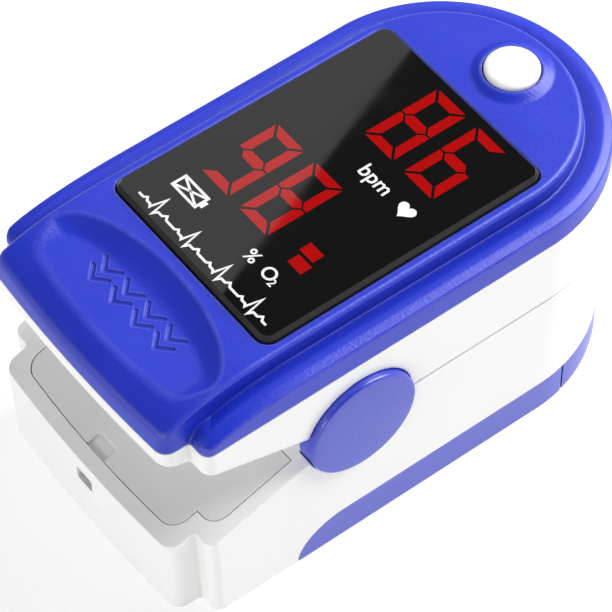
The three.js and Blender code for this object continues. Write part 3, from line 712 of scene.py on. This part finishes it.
def push_mark(x, y):
    """Depth of the engraved press-here mark: two rows of chevrons that point down the dish."""
    nearest = np.full(np.broadcast(x, y).shape, PLENTY)
    for column in (-4.8, -1.6, 1.6, 4.8):
        for row in (0.55, -0.85):
            tip = (column, MARK_Y + row - 0.55)
            for side in (-1, 1):
                end = (column + side * 1.15, MARK_Y + row + 0.55)
                nearest = np.minimum(nearest, stroke_distance(x, y, tip, end))
    return MARK_DEPTH * (1 - smooth_step(nearest, MARK_HALF_STROKE - 0.1, MARK_HALF_STROKE + 0.08))


def marked_cover(x, y, z):
    return cover_field(x, y, z + np.where(z > LEDGE_Z - 2.0, push_mark(x, y), 0))


def engrave(mesh):
    """Divides the faces under the mark finely and moves them onto its surface."""
    work = bmesh.new()
    work.from_mesh(mesh)
    edges = set()
    for face in work.faces:
        middle = face.calc_center_median() / MM
        in_plan = abs(middle.x) < MARK_REACH_X and abs(middle.y - MARK_Y) < MARK_REACH_Y
        if in_plan and face.normal.z > 0.8 and middle.z > LEDGE_Z - 1:
            edges.update(face.edges)
    bmesh.ops.subdivide_edges(work, edges=list(edges), cuts=3, use_grid_fill=True)
    work.verts.ensure_lookup_table()
    points = np.array([v.co for v in work.verts]) / MM
    near_x = np.abs(points[:, 0]) < MARK_REACH_X + 0.2
    near_y = np.abs(points[:, 1] - MARK_Y) < MARK_REACH_Y + 0.3
    near = near_x & near_y & (points[:, 2] > LEDGE_Z - 1)
    points[near] = settle(marked_cover, points[near], 0.3)
    for k in np.nonzero(near)[0]:
        work.verts[k].co = points[k] * MM
    work.to_mesh(mesh)
    work.free()
    mesh.update()


COVER_TOP = (COVER[1][0], COVER[1][1], PLATFORM_Z + COLLAR_HEIGHT + 0.1)
moulded("top_cover", "shell", marked_cover, COVER[0], COVER_TOP, 0.24, COVER_BLUE, "upper_jaw", "cover_blue",
        engrave)


# ---------------- white upper frame
def upper_frame_field(x, y, z):
    ax = np.abs(x)
    edge = outline(x, y)
    base = meet(underside(y, z), PARTING_Z + PARTING_GAP / 2 - z)
    shell = meet(meet(edge, base, 0.14), z - COVER_BASE_Z + 0.01, 0.08)
    hollow = meet(edge + WALL, underside(y, z) + DECK_THICKNESS)
    body = cut(shell, hollow)
    web = meet(meet(edge + WALL / 2, slab(z, WEB_LOW_Z, WEB_TOP_Z)), PAD_FRONT_Y - y)
    body = join(body, web, 0.2)
    body = cut(body, disc_x(ax, y, z, BARREL_RADIUS - 1, -1, ARM_INNER_X))
    along, up = y - PIVOT[1], z - PIVOT[2]
    start, end = math.radians(95), math.radians(208)
    ring = np.abs(hypot(along, up) - BARREL_RADIUS + 0.5) - 0.5
    first_side = along * math.sin(start) - up * math.cos(start)
    last_side = up * math.cos(end) - along * math.sin(end)
    barrel = meet(meet(ring, np.maximum(first_side, last_side)), ax - ARM_OUTER_X, 0.1)
    body = join(body, barrel, 0.15)
    body = join(body, disc_x(ax, y, z, BARREL_RADIUS, ARM_INNER_X, ARM_OUTER_X, 0.1))
    arm_top = (ARM_OUTER_X, PIVOT[1] + 2, WEB_TOP_Z)
    arm = block(ax, y, z, (ARM_INNER_X, PIVOT[1] - 2, PIVOT[2] + 3.5), arm_top)
    gusset_top = (INTO_WALL_X, PIVOT[1] + 2, WEB_TOP_Z)
    gusset = block(ax, y, z, (ARM_INNER_X, PIVOT[1] - 2, PIVOT[2] + 5.4), gusset_top)
    body = join(join(body, arm), gusset)
    body = cut(body, disc_x(ax, y, z, BARREL_RADIUS + 0.3, ARM_OUTER_X, PLENTY), 0.05)
    body = cut(body, disc_x(ax, y, z, CAP_RADIUS + 0.1, CAP_SEAT_X, PLENTY), 0.12)
    body = cut(body, disc_x(ax, y, z, 1.3, -1, ARM_OUTER_X + 0.2))
    body = cut(body, meet(tunnel(x, z, *CHANNEL), TUNNEL_FRONT_Y - y), 0.4)
    body = cut(body, block(x, y, z, (-2.2, SENSOR_Y - 2.6, 22.3), (2.2, SENSOR_Y + 2.6, 23.2)))
    for spot_x, spot_y in SCREW_SPOTS:
        body = cut(body, post_z(ax, y, z, 1.0, 22.0, 23.6, (spot_x, spot_y)))
    return body


FRAME_TOP = (UPPER[1][0], UPPER[1][1], COVER_BASE_Z)
moulded("upper_frame", "shell", upper_frame_field, UPPER[0], FRAME_TOP, 0.3, WHITE, "upper_jaw",
        "housing_white")


# ---------------- white lower housing
BAND_LEVEL_Y = -10.15
BAND_REACH = 5.34
BAND_TOP_Z = BAND[1][2] + 0.1
SEAM_Y = BAND[1][1] + 0.15
TAIL_BASE_Z = DOOR[0][2] - 0.1
LEDGE_TOP = 0.9
DOORWAY_HALF = 12.2
DOORWAY_FRONT_Y = DOOR[0][1] - 0.3
POST = (12.3, 2.0)
POST_FOOT_Z = 5
POST_TOP_Z = 11.2


def band_region(y, z, grow=0.0):
    """Where the side bands lie: a front end like a quarter of an ellipse, then level to the rear."""
    ahead = np.minimum(y - BAND_LEVEL_Y, 0)
    return ellipse(ahead, np.maximum(z, 0), BAND_REACH + grow, BAND_TOP_Z + grow)


def drafted(y, z):
    """The front leans: its foot stands half a millimetre behind its top."""
    return y - 0.04 * np.clip(12.5 - z, 0, 12.5) * np.clip((-15 - y) / 8, 0, 1)


def lower_housing_field(x, y, z):
    ax = np.abs(x)
    edge = outline(x, drafted(y, z))
    shell = meet(meet(edge, deck(y, z), 0.13), -z, 0.25)
    strip = meet(deck(y, z), meet(-deck(y, z) - DECK_THICKNESS, slab(y, PANEL[1][1] + 0.3, PIVOT[1])))
    hollow = cut(meet(inner_plan(x, drafted(y, z)), LEDGE_TOP - z), strip)
    body = cut(shell, hollow)
    doorway = meet(meet(ax - DOORWAY_HALF, DOORWAY_FRONT_Y - y), z - LEDGE_TOP - 0.1)
    body = cut(body, doorway, 0.1)
    body = cut(body, band_region(y, z, 0.06), 0.06)
    plate = block(ax, y, z, (HUB_INNER_X, PIVOT[1] - 6.5, 6.5), (INTO_WALL_X, PIVOT[1] + 6.5, 17))
    body = join(body, meet(plate, deck(y, z)))
    post = post_z(ax, y, z, 1.5, POST_FOOT_Z, POST_TOP_Z, POST)
    arm = block(ax, y, z, (POST[0], POST[1] - 1.2, POST_FOOT_Z), (INTO_WALL_X, POST[1] + 1.2, POST_TOP_Z))
    body = join(body, join(post, arm), 0.1)
    body = cut(body, disc_x(ax, y, z, CAP_RADIUS + 0.1, CAP_SEAT_X, PLENTY), 0.12)
    body = join(body, disc_x(ax, y, z, BARREL_RADIUS, HUB_INNER_X, CAP_SEAT_X, 0.1))
    body = cut(body, disc_x(ax, y, z, BARREL_RADIUS + 0.3, -1, HUB_INNER_X))
    body = cut(body, disc_x(ax, y, z, 2.3, -1, PLENTY))
    body = cut(body, meet(tunnel(x, z, *CHANNEL), TUNNEL_FRONT_Y - y), 0.4)
    slot = block(x, y, z, (-1.0, FRONT_Y - 5, 6.4), (1.3, FRONT_Y + 3, 8.2), 0.35)
    body = cut(body, slot, 0.1)
    return cut(body, post_z(ax, y, z, 1.0, 7, 12, POST))


moulded("lower_housing", "shell", lower_housing_field, *LOWER, 0.3, WHITE, "lower_jaw", "housing_white")


def deck_panel_field(x, y, z):
    edge = meet(inner_plan(x, drafted(y, z)) + 0.09, y - PANEL[1][1] - 0.22)
    body = meet(meet(edge, deck(y, z) + 0.01, 0.07), -deck(y, z) - DECK_THICKNESS)
    recess = meet(rounded_rectangle(x, y, (-1.05, -27.8), (1.5, -25.65), 0.4), -deck(y, z) - 0.4)
    return cut(body, recess, 0.15)


# The deck panel's greyer white is painted shade.
moulded("deck_panel", "plate", deck_panel_field, *PANEL, 0.22, SHADED_PANEL_WHITE, "lower_jaw", "panel_white")


# ---------------- blue bands and battery door
def band_field(side):
    def field(x, y, z):
        edge = outline(x, drafted(y, z))
        wall = meet(edge, -edge - WALL)
        body = meet(meet(edge, -z, 0.2), -edge - WALL)
        body = meet(body, band_region(y, z), 0.08)
        bay = meet(np.abs(x) - DOORWAY_HALF, z - LEDGE_TOP)
        return meet(cut(meet(body, wall), bay), meet(y - SEAM_Y + 0.1, -side * x), 0.08)
    return field


for word, side in SIDES:
    node = f"side_band_{word}"
    # The bands' paler blue is painted light.
    moulded(node, "strip", band_field(side), *span(node), 0.24, LIT_BAND_BLUE, "lower_jaw", "cover_blue")


def door_field(x, y, z):
    ax = np.abs(x)
    edge = outline(x, y)
    plate = block(x, y, z, (-11.9, DOOR[0][1], DOOR[0][2]), (11.9, SEAM_Y + 1, 0.7), 0.12)
    grips = np.full(np.broadcast(x, y, z).shape, PLENTY)
    for row in range(5):
        middle = 9.6 + 1.5 * row
        rib = hypot(y - middle, (z - DOOR[0][2]) * 1.6) - 0.34
        grips = np.minimum(grips, meet(rib, ax - 6.5, 0.2))
    plate = cut(plate, grips, 0.08)
    inner_rail = block(ax, y, z, (10.9, DOOR[0][1] + 0.8, 0.6), (11.9, SEAM_Y, 1.7), 0.08)
    outer_rail = block(ax, y, z, (11.5, DOOR[0][1] + 0.8, 1.2), (12.9, SEAM_Y, 1.7), 0.08)
    tail = meet(meet(edge, TAIL_BASE_Z - z, 0.2), z - BAND_TOP_Z, 0.1)
    tail = cut(tail, meet(edge + WALL, 0.7 - z), 0.1)
    tail = meet(tail, SEAM_Y + 0.1 - y, 0.08)
    return join(join(join(plate, inner_rail), outer_rail), tail, 0.05)


moulded("battery_door", "shell", door_field, *DOOR, 0.3, GLOSS_BLUE, "battery_door", "cover_blue")


# ---------------- pivot caps, button and pads
def cap_profile():
    """From the hub to the middle of the outer face: a nearly flat face with a narrow rounded rim."""
    outer = CAP[1][0]
    rim = 0.28
    profile = [(0, CAP[0][0]), (2.0, CAP[0][0]), (2.0, 14.2), (CAP_RADIUS, 14.2)]
    profile += arc((CAP_RADIUS - rim, outer - 0.08 - rim), rim, 0, 86, 8)
    profile += [(4.6, outer - 0.055), (3.2, outer - 0.026), (1.6, outer - 0.006), (0, outer)]
    return profile


for word, side in SIDES:
    node = f"pivot_cap_{word}"
    cap = lathed(f"{node}_disc", cap_profile(), (0, PIVOT[1], PIVOT[2]), side, segments=128)
    dress(cap, GLOSS_BLUE, "lower_jaw", [node])


def power_button():
    base = BUTTON[0][2]
    shoulder = BUTTON_TOP_Z - 0.58
    profile = [(0, base), (FLANGE_RADIUS, base), (FLANGE_RADIUS, base + 0.8), (BUTTON_RADIUS, base + 0.8)]
    for angle in np.radians(np.linspace(0, 90, 15)):
        radius = BUTTON_RADIUS - 1.1 * (1 - math.cos(angle))
        profile.append((radius, shoulder + 0.5 * math.sin(angle)))
    profile += [(1.05, BUTTON_TOP_Z - 0.035), (0.55, BUTTON_TOP_Z - 0.01), (0, BUTTON_TOP_Z)]
    piece = lathed("power_button_dome", profile, (0, BUTTON_Y, 0))
    dress(piece, BUTTON_WHITE, "power_button", ["power_button"])


power_button()


PAD_LIP = (8.3, 4.8, 4.2)
PAD_GROOVE = (7.6, 4.3, 3.7)
PADS = (("lower", "lower_jaw", LOWER_PAD, False), ("upper", "upper_jaw", UPPER_PAD, True))


def pad_field(z_low, z_high, notched):
    """The field of a finger pad. The notched one makes room for the rear screws."""
    def field(x, y, z):
        ax = np.abs(x)
        edge = outline(x, y)
        flat = slab(z, z_low, z_high)
        main = meet(meet(meet(edge + WALL + 0.3, ax - 10.2), PAD_FRONT_Y - y), flat, 0.15)
        lip = meet(meet(tunnel(x, z, *PAD_LIP), slab(y, 22, REAR_Y - 0.35)), edge + 0.15, 0.3)
        body = join(main, meet(lip, flat), 0.1)
        body = cut(body, meet(tunnel(x, z, *PAD_GROOVE), -3.0 - y), 0.35)
        window = block(x, y, z, (-3.2, SENSOR_Y - 3.8, 0), (3.2, SENSOR_Y + 3.8, 40))
        body = cut(body, window, 0.15)
        if notched:
            body = cut(body, hypot(ax - SCREW_SPOTS[1][0], y - SCREW_SPOTS[1][1]) - 1.8)
        return body
    return field


for word, body, box, notched in PADS:
    field = pad_field(box[0][2], box[1][2], notched)
    pad = moulded(f"{word}_finger_pad", "skin", field, *box, 0.32, SILICONE, body, "silicone")


# ---------------- display
def display_glass():
    """A slab with rounded corners and a polished bevel round its top."""
    low, high = GLASS
    corner, bevel, steps = GLASS_CORNER, 0.35, 10
    rings = []
    for inset, z in ((0, low[2]), (0, high[2] - bevel), (bevel, high[2])):
        ring = []
        for quarter, (sx, sy) in enumerate(((1, 1), (-1, 1), (-1, -1), (1, -1))):
            centre_x = sx * (high[0] - corner)
            centre_y = (high[1] if sy > 0 else low[1]) - sy * corner
            for x, y in arc((centre_x, centre_y), corner - inset, 90 * quarter, 90 * quarter + 90, steps):
                ring.append((x, y, z))
        rings.append(ring)
    mesh = mesh_from("display_window", *loft(rings))
    mesh.polygons.foreach_set("use_smooth", [True] * len(mesh.polygons))
    mesh.set_sharp_from_angle(angle=math.radians(20))
    dress(new_object("display_window", mesh), DARK_GLASS, "upper_jaw", ["display_glass"])
    mesh.materials.append(GLASS_EDGE)
    for face in mesh.polygons[1:-1]:
        face.material_index = 1


display_glass()

MARK_LIFT = 0.012
MARK_THICKNESS = 0.05


def marks(name, outlines, material):
    """Thin plates set into the display window, one for each outline of (x, y) points."""
    top = GLASS[1][2] + MARK_LIFT
    vertices, faces = [], []
    for points in outlines:
        plate, sides = loft([[(x, y, z) for x, y in points] for z in (top - MARK_THICKNESS, top)])
        faces += [[len(vertices) + k for k in face] for face in sides]
        vertices += plate
    piece = new_object(name, mesh_from(name, vertices, faces))
    return dress(piece, material, "upper_jaw")


def bar(x_low, y_low, x_high, y_high):
    return [(x_low, y_low), (x_high, y_low), (x_high, y_high), (x_low, y_high)]


DIGIT_WIDTH = 4.15
DIGIT_HEIGHT = 8.65
STROKE = 1.12
SEGMENT_GAP = 0.1
SEGMENTS_OF = {"8": "abcdefg", "9": "abcdfg", "6": "acdefg"}


def segment_shapes():
    """The seven segments of a digit whose lower left corner is at the origin."""
    w, h, t, g = DIGIT_WIDTH, DIGIT_HEIGHT, STROKE, SEGMENT_GAP
    middle = h / 2
    bottom = [(g * 2, 0), (w - g * 2, 0), (w - t - g, t - g), (t + g, t - g)]
    across = [(t * 0.5 + g, middle), (t + g, middle - t / 2), (w - t - g, middle - t / 2),
              (w - t * 0.5 - g, middle), (w - t - g, middle + t / 2), (t + g, middle + t / 2)]
    inner_top = (t - g, middle - t / 2 - g)
    lower_left = [(0, g * 2), (t - g, t + g), inner_top, (t * 0.45, middle - g), (0, middle - g)]

    def mirror_x(points):
        return [(w - x, y) for x, y in reversed(points)]

    def mirror_y(points):
        return [(x, h - y) for x, y in reversed(points)]

    return {
        "a": mirror_y(bottom), "b": mirror_y(mirror_x(lower_left)), "c": mirror_x(lower_left),
        "d": bottom, "e": lower_left, "f": mirror_y(lower_left), "g": across,
    }


def digits():
    shapes = segment_shapes()
    outlines = []
    for digit, x, y in (("9", -7.8, -8.75), ("8", -2.1, -8.75), ("8", -2.15, 5.45), ("6", 3.55, 5.45)):
        for letter in SEGMENTS_OF[digit]:
            outlines.append([(x + u, y + v) for u, v in shapes[letter]])
    for x, y in ((5.0, -7.35), (5.4, -9.0)):
        outlines.append(bar(x, y, x + 1.9, y + 1.3))
    marks("display_digits", outlines, RED_LIGHT)


digits()


def mitred_outline(points, width):
    """A closed outline of even width round an open line, with mitred corners."""
    line = np.array(points, float)
    along = unit(np.diff(line, axis=0))
    before, after = np.vstack([along[:1], along]), np.vstack([along, along[-1:]])
    across = unit(np.stack([-(before + after)[:, 1], (before + after)[:, 0]], 1))
    square = np.stack([-after[:, 1], after[:, 0]], 1)
    across *= (width / 2 / np.maximum((across * square).sum(1, keepdims=True), 0.35))
    return [tuple(p) for p in np.concatenate([line - across, (line + across)[::-1]])]


def pulse_trace():
    """A heartbeat trace: a level line with a bump, a tall spike and a dip for each beat."""
    beats, low_x, high_x, base_y = 4, -8.9, 9.9, -14.75
    beat = (high_x - low_x) / beats
    shape = ((0.0, 0.0), (0.14, 0.0), (0.2, 0.28), (0.26, 0.0), (0.36, 0.0), (0.41, -0.22), (0.49, 1.5),
             (0.57, -0.5), (0.62, 0.0), (0.74, 0.0), (0.81, 0.36), (0.88, 0.0))
    points = [(low_x + beat * (k + share), base_y + height) for k in range(beats) for share, height in shape]
    points.append((high_x, base_y))
    marks("pulse_trace", [mitred_outline(points, 0.24)], WHITE_INK)


pulse_trace()


def frame_outlines(x_low, y_low, x_high, y_high, width):
    """Four bars round a rectangle."""
    inner_low, inner_high = y_low + width, y_high - width
    return [
        bar(x_low, y_low, x_high, inner_low),
        bar(x_low, inner_high, x_high, y_high),
        bar(x_low, inner_low, x_low + width, inner_high),
        bar(x_high - width, inner_low, x_high, inner_high),
    ]


def battery_symbol():
    x_low, x_high, y_low, y_high = -8.0, -4.35, -11.95, -10.15
    width = 0.27
    outlines = frame_outlines(x_low, y_low, x_high, y_high, width)
    outlines.append(bar(x_high, y_low + 0.5, x_high + 0.35, y_high - 0.5))
    for start_y, end_y in ((y_low, y_high), (y_high, y_low)):
        inset = width if end_y > start_y else -width
        ends = [(x_low + width, start_y + inset), (x_high - width, end_y - inset)]
        outlines.append(mitred_outline(ends, 0.24))
    marks("battery_symbol", outlines, WHITE_INK)


battery_symbol()


def heart_symbol():
    t = np.linspace(0, 2 * math.pi, 48, endpoint=False)
    x = 16 * np.sin(t) ** 3
    y = 13 * np.cos(t) - 5 * np.cos(2 * t) - 2 * np.cos(3 * t) - np.cos(4 * t)
    size, middle_x, middle_y = 1 / 16, 7.25, 2.8
    points = [(middle_x + a * size, middle_y + b * size) for a, b in zip(x, y)]
    marks("heart_symbol", [points[::-1]], WHITE_INK)


heart_symbol()


LETTER_HALF_THICKNESS = 0.02


def label(name, text, x, y, size):
    """Plain generic lettering, such as a unit, as thin plates on the window."""
    curve = bpy.data.curves.new(name, "FONT")
    curve.body = text
    curve.size = size * MM
    curve.extrude = LETTER_HALF_THICKNESS * MM
    curve.offset = 0.012 * size * MM
    holder = new_object(name + "_text", curve)
    bpy.context.view_layer.update()
    mesh = bpy.data.meshes.new_from_object(holder.evaluated_get(bpy.context.evaluated_depsgraph_get()))
    bpy.data.objects.remove(holder)
    corner = Vector((x, y, GLASS[1][2] + MARK_LIFT - LETTER_HALF_THICKNESS)) * MM
    for vertex in mesh.vertices:
        vertex.co += corner
    piece = new_object(name, mesh)
    mesh.name = name
    return dress(piece, WHITE_INK, "upper_jaw")


label("percent_label", "%", 2.4, -11.75, 2.0)
label("oxygen_label", "O", 4.75, -11.75, 2.0)
label("oxygen_index", "2", 6.2, -11.95, 1.25)
label("rate_label", "bpm", 0.9, 2.2, 2.2)


# ---------------- inner CAD pieces keep their shape
INNER_FINISHES = {
    "battery_tray": TRAY_WHITE, "sensor_window": CLEAR_LENS, "emitter_window": CLEAR_LENS,
    "sensor_board": BOARD, "main_board": BOARD, "flex_cable": FLEX, "flex_tail": FLEX,
    "battery_left": SLEEVE, "battery_right": SLEEVE,
}
DARK_NODES = ("photodiode", "display_module", "main_chip", "driver_chip", "led_emitter", "board_connector")
STEEL_WORDS = ("spring", "plate", "pin", "screw", "crystal", "switch")


def dress_inner_nodes():
    for name, node in frame["nodes"].items():
        if node.hide_render:
            continue
        material = INNER_FINISHES.get(name)
        if name in DARK_NODES:
            material = BLACK_PLASTIC
        if material is None and any(word in name for word in STEEL_WORDS):
            material = STEEL
        if material is None:
            raise ValueError(f"no finish for {name}")
        node.data.materials.clear()
        node.data.materials.append(material)


dress_inner_nodes()


# ---------------- floor, camera and light
AZIMUTH = math.radians(52.55)
ELEVATION = math.radians(52.57)
DISTANCE = 0.33
AIM = Vector((-0.00736, 0.00285, 0.00074))
LEVEL = math.cos(ELEVATION)
BACK = Vector((math.sin(AZIMUTH) * LEVEL, -math.cos(AZIMUTH) * LEVEL, math.sin(ELEVATION)))
LENS = 198.4


def camera():
    data = bpy.data.cameras.new("camera")
    data.lens = LENS
    data.sensor_width = 36
    data.clip_start, data.clip_end = 0.01, 10
    eye = bpy.data.objects.new("camera", data)
    eye.location = AIM + BACK * DISTANCE
    eye.rotation_euler = (-BACK).to_track_quat("-Z", "Y").to_euler()
    bpy.context.scene.collection.objects.link(eye)
    bpy.context.scene.camera = eye
    return eye


def floor():
    material, nodes, principled = finish("pale_floor", (160, 160, 160), 0.6, Specular_IOR_Level=0.0)
    cloud = nodes.noise(nodes.place(), 40.0, detail=2.0)
    tint = nodes.mix(cloud, from_srgb(158, 158, 158), from_srgb(162, 162, 162))
    wire(principled, Base_Color=tint, Emission_Color=(1, 1, 1, 1), Emission_Strength=0.72)
    half = 2000.0
    corners = [(-half, -half, 0), (half, -half, 0), (half, half, 0), (-half, half, 0)]
    plane = new_object("floor", mesh_from("floor", corners, [(0, 1, 2, 3)]))
    plane.data.materials.append(material)


def mirrored_in_glass(eye, point):
    """The sight line through a point of the window once it is reflected, as a start and a direction."""
    start = Vector((point[0], point[1], GLASS[1][2])) * MM
    sight = (start - eye.location).normalized()
    return start, Vector((sight.x, sight.y, -sight.z))


def softbox(name, centre, aim, across, size, radiance):
    """A rectangular lamp at centre that faces aim, with its width along across."""
    data = bpy.data.lights.new(name, "AREA")
    data.shape = "RECTANGLE"
    data.size, data.size_y = size
    data.energy = radiance * math.pi * size[0] * size[1]
    lamp = bpy.data.objects.new(name, data)
    back = (Vector(centre) - Vector(aim)).normalized()
    right = (Vector(across) - back * Vector(across).dot(back)).normalized()
    lamp.location = centre
    lamp.rotation_euler = Matrix((right, back.cross(right), back)).transposed().to_euler()
    lamp.visible_camera = False
    bpy.context.scene.collection.objects.link(lamp)
    return lamp


def glare_panel(eye):
    """The softbox whose straight edge is seen in the window as a diagonal."""
    reach = 0.42
    upper = mirrored_in_glass(eye, (-7.4, 14.95))
    lower = mirrored_in_glass(eye, (-0.05, -3.45))
    first = upper[0] + upper[1] * reach
    second = lower[0] + lower[1] * reach
    edge = (second - first).normalized()
    facing = upper[1] + lower[1]
    outward = edge.cross(facing).normalized()
    if outward.x > 0:
        outward = -outward
    width, length = 0.16, 0.5
    centre = (first + second) / 2 + outward * width / 2
    softbox("glare_panel", centre, centre - facing, outward, (width, length), 1.0)


def lamp_from(name, azimuth, elevation, distance, size, radiance):
    """A softbox that faces the model from a direction in degrees."""
    around, up = math.radians(azimuth), math.radians(elevation)
    direction = Vector((math.cos(around) * math.cos(up), math.sin(around) * math.cos(up), math.sin(up)))
    aim = Vector((0, 0, 14 * MM))
    across = (-math.sin(around), math.cos(around), 0)
    return softbox(name, aim + direction * distance, aim, across, size, radiance)


def world():
    """A dim room, darker where the window mirrors it."""
    sky = bpy.data.worlds.new("studio")
    bpy.context.scene.world = sky
    sky.use_nodes = True
    nodes = Nodes(sky.node_tree)
    background = sky.node_tree.nodes["Background"]
    direction = nodes.add("TexCoord").outputs["Generated"]
    mirror = Vector((-BACK.x, -BACK.y, BACK.z))
    toward = nodes.add("VectorMath", {0: direction, 1: mirror}, operation="DOT_PRODUCT")
    outer, inner = math.cos(math.radians(30)), math.cos(math.radians(12))
    opening = nodes.remap(toward.outputs["Value"], outer, inner, 1.0, 0.5, smooth=True)
    wire(background, Color=(1, 1, 1, 1), Strength=nodes.math("MULTIPLY", opening, 0.24))


eye = camera()
floor()
glare_panel(eye)
lamp_from("key", 80, 42, 0.6, (0.46, 0.46), 9.0)
lamp_from("front_fill", -85, 14, 0.5, (0.6, 0.12), 4.5)
lamp_from("right_fill", -10, 14, 0.5, (0.5, 0.12), 0.3)
world()
bpy.context.scene.view_settings.view_transform = "Standard"
bpy.context.scene.view_settings.look = "None"
